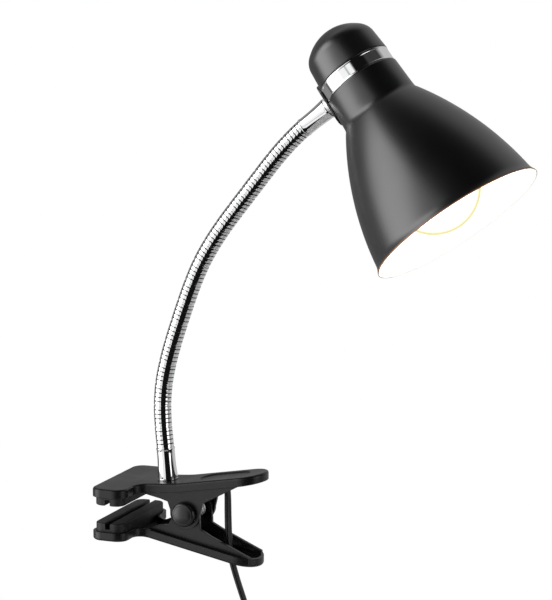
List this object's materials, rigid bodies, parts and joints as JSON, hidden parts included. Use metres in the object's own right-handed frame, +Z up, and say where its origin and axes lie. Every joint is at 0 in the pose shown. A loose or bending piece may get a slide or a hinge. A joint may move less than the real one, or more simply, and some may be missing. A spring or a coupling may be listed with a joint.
{
  "type": "clip-on reading lamp",
  "caption": "Clip-on reading lamp: a sprung clamp with rubber-faced jaws, a chrome gooseneck and a black bell shade over a bare screw-in bulb.",
  "frame": {"origin": "middle of the gripping face of the upper pad's front foot, where the clamp holds the top of a board", "axes": "+X along the clamp from its jaws towards its handles, +Y along the jaws' nose bar, +Z up, out of the board"},
  "size_m": [0.2975, 0.1191, 0.5189],
  "materials": {
    "black_jaw": "satin moulded plastic",
    "black_rubber": "matt rubber",
    "zinc": "bright zinc plate",
    "chrome": "polished chrome plate",
    "shade_paint": "satin black enamel outside, white inside",
    "black_gloss": "gloss moulded plastic",
    "saddle_black": "satin black enamel",
    "sleeve_steel": "plain steel",
    "holder_black": "matt thermoset",
    "brass": "plain brass",
    "bulb_glass": "opal glass",
    "bulb_metal": "plain aluminium",
    "bulb_black": "black glass insulator",
    "cord_black": "smooth black PVC",
    "plug_black": "moulded black plastic"
  },
  "bodies": {
    "base": {"upper_jaw": "black_jaw", "upper_pad": "black_rubber", "pivot_pin": "zinc", "pivot_cap_front": "black_jaw", "pivot_cap_back": "black_jaw", "torsion_spring": "zinc", "lower_ferrule": "chrome", "ferrule_washer": "zinc", "ferrule_nut": "zinc", "inner_lead": "cord_black", "cord_clip": "plug_black", "clip_screws": "zinc", "cord": "cord_black", "cord_coil": "cord_black", "plug_body": "plug_black", "plug_pins": "brass", "neck_link_01": "chrome"},
    "lower_jaw": {"lower_jaw": "black_jaw", "lower_pad": "black_rubber"},
    "link_02": {"neck_link_02": "chrome"},
    "link_03": {"neck_link_03": "chrome"},
    "link_04": {"neck_link_04": "chrome", "neck_link_05": "chrome"},
    "link_06": {"neck_link_06": "chrome"},
    "link_07": {"neck_link_07": "chrome"},
    "link_08": {"neck_link_08": "chrome", "neck_link_09": "chrome"},
    "link_10": {"neck_link_10": "chrome"},
    "link_11": {"neck_link_11": "chrome"},
    "link_12": {"neck_link_12": "chrome", "neck_link_13": "chrome"},
    "link_14": {"neck_link_14": "chrome"},
    "link_15": {"neck_link_15": "chrome"},
    "head": {"neck_link_16": "chrome", "neck_link_17": "chrome", "upper_ferrule": "chrome", "spacer_washer": "chrome", "saddle_plate": "saddle_black", "nipple": "zinc", "head_nut": "zinc", "trim_ring": "chrome", "rear_cap": "black_gloss", "shade": "shade_paint", "socket_sleeve": "sleeve_steel", "lampholder": "holder_black", "lampholder_shell": "brass", "centre_contact": "brass", "holder_screws": "zinc", "bulb_globe": "bulb_glass", "bulb_cap": "bulb_metal", "bulb_insulator": "bulb_black", "bulb_button": "brass"}
  },
  "joints": [
    {"name": "jaw_pivot", "type": "hinge", "parent": "base", "child": "lower_jaw", "pos_m": [0.0537, 0, -0.006], "axis": [0, -1, 0], "range_deg": [-11, 26], "stiffness_Nm_per_rad": 0.6, "springref_deg": -91.67, "deforming": ["torsion_spring"]},
    {"name": "neck_low", "type": "hinge", "parent": "base", "child": "link_02", "pos_m": [0.03185, 0, 0.05013], "axis": [0, 1, 0], "range_deg": [-10, 7]},
    {"name": "neck_side", "type": "hinge", "parent": "link_02", "child": "link_03", "pos_m": [0.03133, 0, 0.06497], "axis": [-0.9998, 0, 0.0218], "range_deg": [-12, 12]},
    {"name": "neck_low_03", "type": "hinge", "parent": "link_03", "child": "link_04", "pos_m": [0.0325, 0, 0.07978], "axis": [0, 1, 0], "range_deg": [-10, 7]},
    {"name": "neck_low_05", "type": "hinge", "parent": "link_04", "child": "link_06", "pos_m": [0.03955, 0, 0.1086], "axis": [0, 1, 0], "range_deg": [-10, 7]},
    {"name": "neck_side_06", "type": "hinge", "parent": "link_06", "child": "link_07", "pos_m": [0.04426, 0, 0.12269], "axis": [-0.9455, 0, 0.3256], "range_deg": [-12, 12]},
    {"name": "neck_low_07", "type": "hinge", "parent": "link_07", "child": "link_08", "pos_m": [0.04922, 0, 0.13668], "axis": [0, 1, 0], "range_deg": [-10, 7]},
    {"name": "neck_high", "type": "hinge", "parent": "link_08", "child": "link_10", "pos_m": [0.0607, 0, 0.16406], "axis": [0, 1, 0], "range_deg": [-10, 7]},
    {"name": "neck_side_10", "type": "hinge", "parent": "link_10", "child": "link_11", "pos_m": [0.06813, 0, 0.17692], "axis": [-0.8457, 0, 0.5336], "range_deg": [-12, 12]},
    {"name": "neck_high_11", "type": "hinge", "parent": "link_11", "child": "link_12", "pos_m": [0.07654, 0, 0.18916], "axis": [0, 1, 0], "range_deg": [-10, 7]},
    {"name": "neck_high_13", "type": "hinge", "parent": "link_12", "child": "link_14", "pos_m": [0.09482, 0, 0.21256], "axis": [0, 1, 0], "range_deg": [-10, 7]},
    {"name": "neck_side_14", "type": "hinge", "parent": "link_14", "child": "link_15", "pos_m": [0.10407, 0, 0.22418], "axis": [-0.7799, 0, 0.6259], "range_deg": [-12, 12]},
    {"name": "neck_high_15", "type": "hinge", "parent": "link_15", "child": "head", "pos_m": [0.11341, 0, 0.23572], "axis": [0, 1, 0], "range_deg": [-10, 7]}
  ],
  "couplings": [
    {"joint": "neck_low_03", "follows": "neck_low", "ratio": 1},
    {"joint": "neck_low_05", "follows": "neck_low", "ratio": 1},
    {"joint": "neck_side_06", "follows": "neck_side", "ratio": 1},
    {"joint": "neck_low_07", "follows": "neck_low", "ratio": 1},
    {"joint": "neck_side_10", "follows": "neck_side", "ratio": 1},
    {"joint": "neck_high_11", "follows": "neck_high", "ratio": 1},
    {"joint": "neck_high_13", "follows": "neck_high", "ratio": 1},
    {"joint": "neck_side_14", "follows": "neck_side", "ratio": 1},
    {"joint": "neck_high_15", "follows": "neck_high", "ratio": 1}
  ]
}
